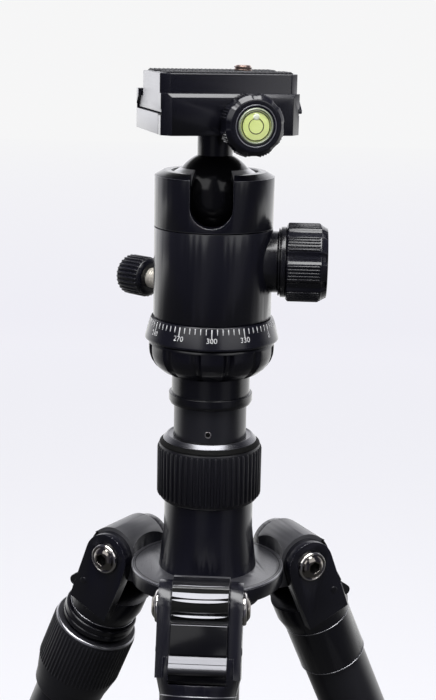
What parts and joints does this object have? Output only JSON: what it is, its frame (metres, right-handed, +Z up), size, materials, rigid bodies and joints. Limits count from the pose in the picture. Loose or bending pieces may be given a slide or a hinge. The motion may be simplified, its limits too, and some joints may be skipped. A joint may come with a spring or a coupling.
{
  "type": "camera tripod with ball head",
  "caption": "Compact camera tripod: splayed telescoping legs on a spider, twist-lock centre column, ball head with panning base and dovetail quick-release clamp and plate.",
  "frame": {"origin": "on the centre column's axis, at the floor the feet stand on", "axes": "+Z up along the column; -Y towards the front leg; +X towards the head's main knob"},
  "size_m": [0.3424, 0.3004, 0.5245],
  "materials": {
    "black_aluminium": "satin black anodised",
    "black_ball": "polished black anodised",
    "rubber": "matte ribbed",
    "chrome_bolts": "polished",
    "silver_ring": "brushed silver",
    "steel_screws": "turned",
    "level_vial": "clear green-yellow liquid",
    "black_plastic": "matte"
  },
  "bodies": {
    "spider": {"spider": "black_aluminium", "leg_pivot_bolts": "chrome_bolts"},
    "column_collar": {"collar_grip": "rubber", "collar_ring": "silver_ring"},
    "column": {"column_tube": "black_aluminium", "column_sleeve": "black_aluminium", "column_plug": "black_plastic", "top_platform": "black_aluminium", "pan_base": "black_aluminium"},
    "head_body": {"head_barrel": "black_aluminium", "head_cap": "black_aluminium", "ball_retainer": "silver_ring"},
    "main_knob": {"main_knob": "black_aluminium", "friction_ring": "black_aluminium", "main_knob_screw": "steel_screws"},
    "pan_knob": {"pan_knob": "black_aluminium", "pan_screw": "steel_screws"},
    "ball": {"ball": "black_ball"},
    "neck": {"neck_stem": "black_aluminium", "clamp_base": "black_aluminium"},
    "clamp_jaw": {"clamp_jaw": "black_aluminium"},
    "clamp_knob": {"clamp_knob": "black_aluminium", "clamp_screw": "steel_screws", "level_vial": "level_vial"},
    "plate": {"qr_plate": "black_aluminium", "plate_pads": "rubber"},
    "camera_screw": {"camera_screw": "steel_screws"},
    "front_leg": {"front_leg_yoke": "black_aluminium", "front_leg_tube_upper": "black_aluminium"},
    "front_latch": {"front_latch": "black_aluminium"},
    "front_lock_upper": {"front_lock_upper": "rubber"},
    "front_middle": {"front_leg_tube_middle": "black_aluminium"},
    "front_lock_lower": {"front_lock_lower": "rubber"},
    "front_lower": {"front_leg_tube_lower": "black_aluminium", "front_foot": "rubber"},
    "right_leg": {"right_leg_yoke": "black_aluminium", "right_leg_tube_upper": "black_aluminium"},
    "right_latch": {"right_latch": "black_aluminium"},
    "right_lock_upper": {"right_lock_upper": "rubber"},
    "right_middle": {"right_leg_tube_middle": "black_aluminium"},
    "right_lock_lower": {"right_lock_lower": "rubber"},
    "right_lower": {"right_leg_tube_lower": "black_aluminium", "right_foot": "rubber"},
    "left_leg": {"left_leg_yoke": "black_aluminium", "left_leg_tube_upper": "black_aluminium", "monopod_ring": "black_aluminium"},
    "left_latch": {"left_latch": "black_aluminium"},
    "left_lock_upper": {"left_lock_upper": "rubber"},
    "left_middle": {"left_leg_tube_middle": "black_aluminium"},
    "left_lock_lower": {"left_lock_lower": "rubber"},
    "left_lower": {"left_leg_tube_lower": "black_aluminium", "left_foot": "rubber"},
    "monopod_collar": {"monopod_grip": "rubber"}
  },
  "joints": [
    {"name": "column_collar_turn", "type": "hinge", "parent": "spider", "child": "column_collar", "pos_m": [0, 0, 0.3689], "axis": [0, 0, 1], "range_deg": [0, 90]},
    {"name": "column_slide", "type": "slide", "parent": "spider", "child": "column", "axis": [0, 0, 1], "range_m": [-0.0113, 0.13]},
    {"name": "head_pan", "type": "hinge", "parent": "column", "child": "head_body", "pos_m": [0, 0, 0.4366], "axis": [0, 0, 1], "continuous": true},
    {"name": "main_knob_turn", "type": "hinge", "parent": "head_body", "child": "main_knob", "pos_m": [0.0258, 0, 0.4566], "axis": [1, 0, 0], "range_deg": [-180, 180]},
    {"name": "pan_knob_turn", "type": "hinge", "parent": "head_body", "child": "pan_knob", "pos_m": [-0.02352, 0.01973, 0.4461], "axis": [-0.766, 0.6428, 0], "range_deg": [-180, 180]},
    {"name": "ball_tilt", "type": "hinge", "parent": "head_body", "child": "ball", "pos_m": [0, 0, 0.4805], "axis": [1, 0, 0], "range_deg": [-30, 60]},
    {"name": "ball_turn", "type": "hinge", "parent": "ball", "child": "neck", "pos_m": [0, 0, 0.4936], "axis": [0, 0, 1], "range_deg": [-180, 180]},
    {"name": "jaw_slide", "type": "slide", "parent": "neck", "child": "clamp_jaw", "axis": [0.309, -0.9511, 0], "range_m": [0, 0.003]},
    {"name": "clamp_knob_turn", "type": "hinge", "parent": "clamp_jaw", "child": "clamp_knob", "pos_m": [0.01203, -0.01922, 0.5057], "axis": [0.309, -0.9511, 0], "range_deg": [0, 1080]},
    {"name": "plate_slide", "type": "slide", "parent": "neck", "child": "plate", "axis": [0.9511, 0.309, 0], "range_m": [-0.015, 0.015]},
    {"name": "camera_screw_turn", "type": "hinge", "parent": "plate", "child": "camera_screw", "pos_m": [0.00894, 0.00291, 0.509], "axis": [0, 0, 1], "range_deg": [-180, 180]},
    {"name": "front_leg_spread", "type": "hinge", "parent": "spider", "child": "front_leg", "pos_m": [0, -0.0365, 0.3405], "axis": [-1, 0, 0], "range_deg": [-24, 57]},
    {"name": "front_latch_press", "type": "hinge", "parent": "front_leg", "child": "front_latch", "pos_m": [0, -0.04696, 0.32928], "axis": [1, 0, 0], "range_deg": [0, 8], "stiffness_Nm_per_rad": 0.2, "springref_deg": -11.46},
    {"name": "front_lock_upper_turn", "type": "hinge", "parent": "front_leg", "child": "front_lock_upper", "pos_m": [0, -0.16015, 0.06278], "axis": [0, -0.4067, -0.9135], "range_deg": [0, 90]},
    {"name": "front_middle_slide", "type": "slide", "parent": "front_leg", "child": "front_middle", "axis": [0, -0.4067, -0.9135], "range_m": [0, 0.19]},
    {"name": "front_lock_lower_turn", "type": "hinge", "parent": "front_middle", "child": "front_lock_lower", "pos_m": [0, -0.17113, 0.03811], "axis": [0, -0.4067, -0.9135], "range_deg": [0, 90]},
    {"name": "front_lower_slide", "type": "slide", "parent": "front_middle", "child": "front_lower", "axis": [0, -0.4067, -0.9135], "range_m": [0, 0.21]},
    {"name": "right_leg_spread", "type": "hinge", "parent": "spider", "child": "right_leg", "pos_m": [0.03161, 0.01825, 0.3405], "axis": [0.5, -0.866, 0], "range_deg": [-24, 57]},
    {"name": "right_latch_press", "type": "hinge", "parent": "right_leg", "child": "right_latch", "pos_m": [0.04067, 0.02348, 0.32928], "axis": [-0.5, 0.866, 0], "range_deg": [0, 8], "stiffness_Nm_per_rad": 0.2, "springref_deg": -11.46},
    {"name": "right_lock_upper_turn", "type": "hinge", "parent": "right_leg", "child": "right_lock_upper", "pos_m": [0.13869, 0.08007, 0.06278], "axis": [0.3522, 0.2034, -0.9135], "range_deg": [0, 90]},
    {"name": "right_middle_slide", "type": "slide", "parent": "right_leg", "child": "right_middle", "axis": [0.3522, 0.2034, -0.9135], "range_m": [0, 0.19]},
    {"name": "right_lock_lower_turn", "type": "hinge", "parent": "right_middle", "child": "right_lock_lower", "pos_m": [0.1482, 0.08557, 0.03811], "axis": [0.3522, 0.2034, -0.9135], "range_deg": [0, 90]},
    {"name": "right_lower_slide", "type": "slide", "parent": "right_middle", "child": "right_lower", "axis": [0.3522, 0.2034, -0.9135], "range_m": [0, 0.21]},
    {"name": "left_leg_spread", "type": "hinge", "parent": "spider", "child": "left_leg", "pos_m": [-0.03161, 0.01825, 0.3405], "axis": [0.5, 0.866, 0], "range_deg": [-24, 57]},
    {"name": "left_latch_press", "type": "hinge", "parent": "left_leg", "child": "left_latch", "pos_m": [-0.04067, 0.02348, 0.32928], "axis": [-0.5, -0.866, 0], "range_deg": [0, 8], "stiffness_Nm_per_rad": 0.2, "springref_deg": -11.46},
    {"name": "left_lock_upper_turn", "type": "hinge", "parent": "left_leg", "child": "left_lock_upper", "pos_m": [-0.13869, 0.08007, 0.06278], "axis": [-0.3522, 0.2034, -0.9135], "range_deg": [0, 90]},
    {"name": "left_middle_slide", "type": "slide", "parent": "left_leg", "child": "left_middle", "axis": [-0.3522, 0.2034, -0.9135], "range_m": [0, 0.19]},
    {"name": "left_lock_lower_turn", "type": "hinge", "parent": "left_middle", "child": "left_lock_lower", "pos_m": [-0.1482, 0.08557, 0.03811], "axis": [-0.3522, 0.2034, -0.9135], "range_deg": [0, 90]},
    {"name": "left_lower_slide", "type": "slide", "parent": "left_middle", "child": "left_lower", "axis": [-0.3522, 0.2034, -0.9135], "range_m": [0, 0.21]},
    {"name": "monopod_collar_turn", "type": "hinge", "parent": "left_leg", "child": "monopod_collar", "pos_m": [-0.04475, 0.02584, 0.30642], "axis": [-0.3522, 0.2034, -0.9135], "range_deg": [0, 180]}
  ],
  "couplings": [
    {"joint": "jaw_slide", "follows": "clamp_knob_turn", "m_per_rad": 0.00015915}
  ]
}
